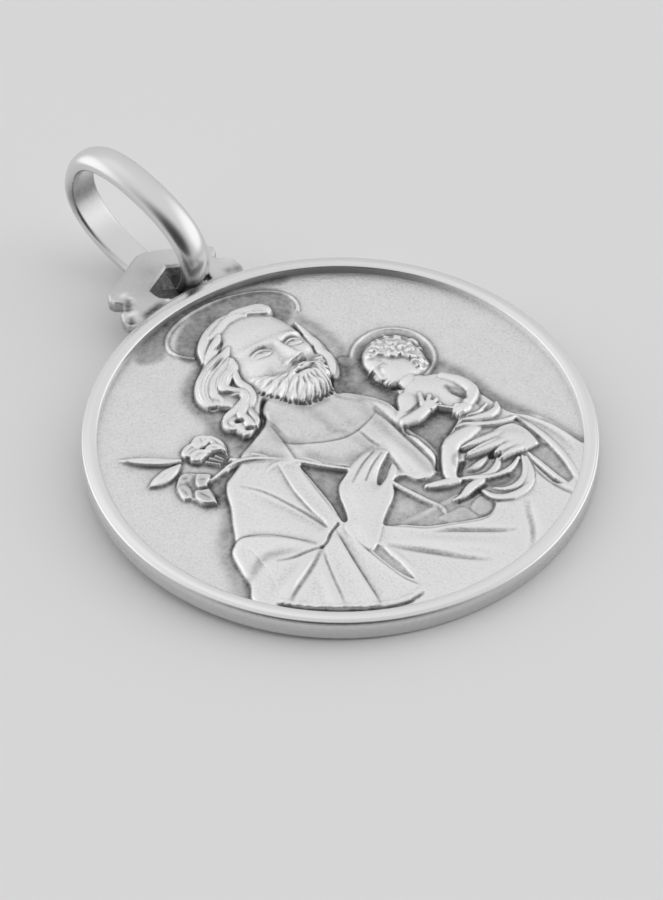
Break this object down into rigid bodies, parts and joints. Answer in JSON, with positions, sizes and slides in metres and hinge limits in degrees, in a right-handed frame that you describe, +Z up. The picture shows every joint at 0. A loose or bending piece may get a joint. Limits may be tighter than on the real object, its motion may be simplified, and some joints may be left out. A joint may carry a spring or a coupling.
{
  "type": "religious medal pendant",
  "caption": "Round silver devotional medal: a saint with lily and child in relief inside a raised rim, an eyelet lug at the top and an oval bail threaded through it.",
  "frame": {"origin": "middle of the flat back", "axes": "+Y towards the lug and the bail, +Z up out of the relief; the face leans 2.7 degrees because the bail props the medal up"},
  "size_m": [0.025, 0.0341, 0.0072],
  "materials": {
    "struck_silver": "struck silver, finely sandblasted, with dark patina in the recesses and a bare rim",
    "polished_silver": "polished silver, smooth"
  },
  "bodies": {
    "root": {"medal": "struck_silver", "bail": "polished_silver"}
  },
  "joints": []
}
